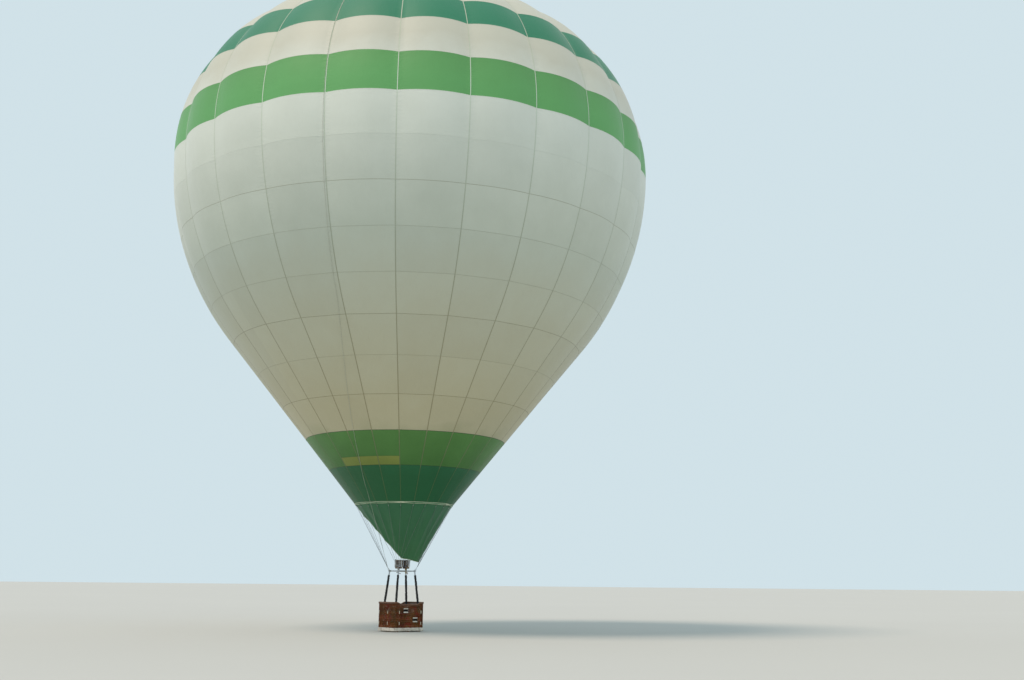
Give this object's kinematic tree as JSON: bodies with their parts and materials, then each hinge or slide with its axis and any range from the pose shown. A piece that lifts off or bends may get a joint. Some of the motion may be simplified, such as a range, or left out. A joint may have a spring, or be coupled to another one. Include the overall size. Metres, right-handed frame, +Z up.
{
  "type": "hot air balloon",
  "caption": "Hot air balloon with a gored, banded envelope, parachute vent, scoop, gimballed double burner, padded poles and a wicker basket with fuel cylinders.",
  "frame": {"origin": "on the envelope's axis at its widest height, where the air carries it; the runners' underside is 17.958 m below", "axes": "+Z up along the envelope's axis, -Y towards the basket's step side, +X along the basket's long side"},
  "size_m": [19.0506, 19.0506, 25.291],
  "materials": {
    "cream": "coated ripstop cloth",
    "dark_green": "coated ripstop cloth",
    "light_green": "coated ripstop cloth",
    "tape": "woven load tape",
    "scoop_cloth": "matt heat-proof cloth",
    "steel": "brushed",
    "coil_steel": "heat-tinted",
    "brass": "satin",
    "wire": "stranded",
    "pole": "satin nylon",
    "cover": "padded leathercloth",
    "wicker": "varnished willow and cane",
    "suede": "suede",
    "hide": "raw hide",
    "plywood": "oiled",
    "hardwood": "oiled, scuffed",
    "cylinder": "satin stainless"
  },
  "bodies": {
    "balloon": {"crown_ring": "steel", "crown_tapes": "tape", "envelope_crown": "cream", "envelope_crown_shoulder": "cream", "envelope_upper_dark_band": "dark_green", "envelope_upper_cream_band": "cream", "envelope_upper_light_band": "light_green", "envelope_shoulder": "cream", "envelope_belly": "cream", "envelope_flank": "cream", "envelope_cone": "cream", "envelope_lower_light_band": "light_green", "envelope_lower_dark_band": "dark_green", "mouth_hem": "tape", "scoop": "scoop_cloth", "flying_wires_front_left": "wire", "flying_wires_front_right": "wire", "flying_wires_rear_right": "wire", "flying_wires_rear_left": "wire", "burner_frame": "steel", "pole_front_left": "pole", "pole_front_right": "pole", "pole_rear_right": "pole", "pole_rear_left": "pole", "pole_cover_front_left": "cover", "pole_cover_front_right": "cover", "pole_cover_rear_right": "cover", "pole_cover_rear_left": "cover", "basket_wicker": "wicker", "basket_rim": "suede", "base_trim": "hide", "basket_floor": "plywood", "runner_left": "hardwood", "runner_middle": "hardwood", "runner_right": "hardwood", "fuel_cylinder_left_front": "cylinder", "fuel_cylinder_left_rear": "cylinder", "fuel_cylinder_right_front": "cylinder", "fuel_cylinder_right_rear": "cylinder"},
    "vent": {"parachute_panel": "dark_green"},
    "gimbal": {"gimbal_ring": "steel"},
    "burner": {"burner_block": "brass", "burner_can_left": "steel", "burner_can_right": "steel", "burner_coil_left": "coil_steel", "burner_coil_right": "coil_steel"}
  },
  "joints": [
    {"name": "vent_pull", "type": "slide", "parent": "balloon", "child": "vent", "axis": [0, 0, -1], "range_m": [0, 1.2], "stiffness_N_per_m": 100, "springref_m": -2},
    {"name": "gimbal_pitch", "type": "hinge", "parent": "balloon", "child": "gimbal", "pos_m": [0, 0, -15.708], "axis": [1, 0, 0], "range_deg": [-10, 10]},
    {"name": "burner_tilt", "type": "hinge", "parent": "gimbal", "child": "burner", "pos_m": [0, 0, -15.708], "axis": [0, 1, 0], "range_deg": [-10, 10]}
  ]
}
